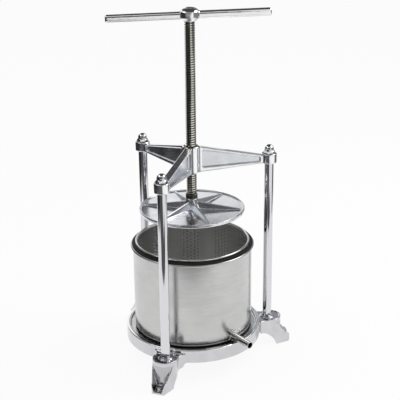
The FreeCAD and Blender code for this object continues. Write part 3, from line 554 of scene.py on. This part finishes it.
work = bmesh.new()
bmesh.ops.create_grid(work, x_segments=columns, y_segments=CELL_ROWS, size=0.5)
work.transform(Matrix.Diagonal((columns * cell_width, CELL_ROWS * cell_height, 1.0, 1.0))
               @ Matrix.Translation((0.5, 0.5, 0.0)))
holes = []
for face in work.faces:
    middle = face.calc_center_median()
    column, row = int(middle.x / cell_width), int(middle.y / cell_height)
    in_band = column % BAND_COLUMNS < HOLE_COLUMNS
    in_height = PLAIN_ROWS <= row < CELL_ROWS - PLAIN_ROWS
    if in_band and in_height and (column % BAND_COLUMNS + row) % 2 == 0:
        holes.append(face)
bmesh.ops.inset_individual(work, faces=holes, thickness=cell_height / 2 - HOLE_R)
hole_edges = list({edge for face in holes for edge in face.edges})
bmesh.ops.subdivide_edges(work, edges=hole_edges, cuts=1)
for face in holes:
    middle = face.calc_center_bounds()
    half_width = max(abs(vert.co.x - middle.x) for vert in face.verts)
    half_height = max(abs(vert.co.y - middle.y) for vert in face.verts)
    for vert in face.verts:
        way = Vector(((vert.co.x - middle.x) / half_width,
                      (vert.co.y - middle.y) / half_height, 0.0))
        vert.co = middle + way.normalized() * HOLE_R
bmesh.ops.delete(work, geom=holes, context="FACES_ONLY")
for vert in work.verts:
    turn = FIRST_BAND_ANGLE + vert.co.x / BASKET_R
    vert.co = (BASKET_R * math.cos(turn), BASKET_R * math.sin(turn), BASKET_FOOT + vert.co.y)
bmesh.ops.remove_doubles(work, verts=work.verts, dist=1e-5)
bmesh.ops.recalc_face_normals(work, faces=work.faces)
bmesh.ops.solidify(work, geom=work.faces[:], thickness=BASKET_WALL)
for face in work.faces:
    face.smooth = True
    radii = [vert.co.xy.length for vert in face.verts]
    if max(radii) - min(radii) > BASKET_WALL / 2:
        face.material_index = 1

basket_sheet = brushed_sheet("basket_sheet", BASKET_STEEL, gloss=0.34)
basket_sheet.set(Metallic=BASKET_METALLIC)
# The holes' walls and the sheet's cut edges get painted shade, near black, so that the holes look
# dark.
hole_shade = new_finish("painted_hole_shade")
hole_mottle = hole_shade.noise(hole_shade.place(), 800.0)
hole_shade.set(Metallic=1.0, Roughness=PUNCHED_ROUGHNESS,
            Base_Color=hole_shade.mix(hole_mottle, HOLE_SHADE_DARK, HOLE_SHADE_LIGHT))
basket_wall = piece_of(work, "basket_wall", basket_sheet)
basket_wall.data.materials.append(hole_shade.owner)
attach(basket_wall, "frame")
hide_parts("basket_shell")
dress(basket_sheet, "basket_floor")
dress(spout_steel, "basket_rim")


# A matt black rubber ring closes the gap between the basket's rim and the vessel's. It is
# moulded, with a dry bloom on it, and held by nothing but its own fit.
RUBBER_DARK = (0.008, 0.008, 0.008, 1.0)
RUBBER_LIGHT = (0.02, 0.02, 0.021, 1.0)
RUBBER_SHINE = 0.25

rubber = new_finish("black_rubber")
bloom = rubber.noise(rubber.place(), 90.0, 4.0, 0.6)
rubber.set(Specular_IOR_Level=RUBBER_SHINE,
           Base_Color=rubber.mix(bloom, RUBBER_DARK, RUBBER_LIGHT),
           Roughness=rubber.spread(bloom, 0.3, 0.7, 0.5, 0.7))
dress(rubber, "splash_ring")


# The press plate is a cast aluminium disc with a raised lip, a hub and six tapering ribs. It
# was faced on a lathe and then polished. A collar of oiled steel sits on its hub, and a pin of
# the same steel holds the handle.
PLATE_METAL = (0.74, 0.755, 0.79)
OILED_DARK = (0.05, 0.047, 0.042, 1.0)
OILED_LIGHT = (0.14, 0.135, 0.12, 1.0)

plate_metal = cast_metal("polished_plate", PLATE_METAL, gloss=0.16, wave=0.0001)
cast_plate = tumbled("press_plate", "cast_plate", plate_metal,
                     voxel=0.0006, triangles=120000, wear=3)
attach(cast_plate, "plate")

oiled_steel = smooth_metal("oiled_steel", OILED_DARK, OILED_LIGHT, patch=300.0, detail=3.0,
                           gloss=(0.3, 0.7, 0.25, 0.45))
dress(oiled_steel, "thrust_collar", "handle_pin")


# The screw is an 18 mm trapezoidal spindle with a 4 mm pitch, cut on a lathe and yellow
# zinc plated. A plain journal below carries the plate, and a tenon above the handle.
SCREW_R = 0.009
SCREW_ROOT_R = 0.00675
PITCH = 0.004
CREST = 0.00146
FLANK = 0.0006
THREAD_START = 0.2965
THREAD_END = 0.5925
JOURNAL_R = 0.007
JOURNAL_SIDES = 48
JOURNAL_END = 0.2743
TENON_END = 0.6085
STEPS_A_TURN = 32
SHARP_ANGLE = math.radians(35)
ZINC_YELLOW = (0.9, 0.88, 0.78)
THREAD_ROOT_SHADE = 0.3
CREST_DIRT = 0.3

work = bmesh.new()
start = THREAD_START - PITCH
profile = [work.verts.new((radius, 0.0, start + height)) for radius, height in (
    (SCREW_R, 0.0), (SCREW_R, CREST), (SCREW_ROOT_R, CREST + FLANK),
    (SCREW_ROOT_R, PITCH - FLANK), (SCREW_R, PITCH))]
edges = [work.edges.new(pair) for pair in zip(profile, profile[1:])]
bmesh.ops.spin(work, geom=profile + edges, cent=(0.0, 0.0, 0.0), axis=(0.0, 0.0, 1.0),
               dvec=(0.0, 0.0, PITCH / STEPS_A_TURN), angle=math.radians(360),
               steps=STEPS_A_TURN, use_merge=False)
turns = 1
while turns * PITCH < THREAD_END - start:
    copies = bmesh.ops.duplicate(work, geom=work.verts[:] + work.edges[:] + work.faces[:])
    bmesh.ops.translate(work, vec=(0.0, 0.0, turns * PITCH),
                        verts=[v for v in copies["geom"] if isinstance(v, bmesh.types.BMVert)])
    turns *= 2
bmesh.ops.remove_doubles(work, verts=work.verts, dist=1e-6)
bmesh.ops.recalc_face_normals(work, faces=work.faces)
for height, way in ((THREAD_START, -1.0), (THREAD_END, 1.0)):
    cut = bmesh.ops.bisect_plane(
        work, geom=work.verts[:] + work.edges[:] + work.faces[:], dist=1e-7,
        plane_co=(0.0, 0.0, height), plane_no=(0.0, 0.0, way), clear_outer=True)
    rim = [item for item in cut["geom_cut"] if isinstance(item, bmesh.types.BMEdge)]
    bmesh.ops.edgeloop_fill(work, edges=rim)
for bottom, top in ((JOURNAL_END, THREAD_START), (THREAD_END, TENON_END)):
    bmesh.ops.create_cone(work, cap_ends=True, segments=JOURNAL_SIDES,
                          radius1=JOURNAL_R, radius2=JOURNAL_R, depth=top - bottom,
                          matrix=Matrix.Translation((0.0, 0.0, (top + bottom) / 2)))
for face in work.faces:
    face.smooth = True
for edge in work.edges:
    edge.smooth = not edge.is_manifold or edge.calc_face_angle() < SHARP_ANGLE

screw_steel = new_finish("yellow_zinc_screw")
# Painted shade darkens the thread's roots; the dirt noise darkens the crests at random.
on_crest = screw_steel.spread(from_axis(screw_steel), SCREW_ROOT_R, SCREW_R, 0.0, 1.0)
dirt = screw_steel.noise(screw_steel.place(), 140.0, 4.0, 0.6)
screw_steel.set(Metallic=1.0, Roughness=screw_steel.spread(dirt, 0.3, 0.7, 0.07, 0.13),
                Base_Color=screw_steel.mix(on_crest - CREST_DIRT * dirt,
                                           shade(ZINC_YELLOW, THREAD_ROOT_SHADE),
                                           shade(ZINC_YELLOW, 1.0)))
screw = piece_of(work, "threaded_screw", screw_steel)
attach(screw, "screw")
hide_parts("spindle")


# The T-handle is one aluminium casting: a domed hub with one straight bar through it, polished
# bright by hand and pinned to the screw's tenon.
HANDLE_METAL = (0.9, 0.9, 0.91)

handle_metal = cast_metal("polished_handle", HANDLE_METAL, gloss=0.12, wave=0.0002)
cast_handle = tumbled("t_handle", "cast_handle", handle_metal,
                      voxel=0.0005, triangles=90000, wear=4)
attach(cast_handle, "screw")
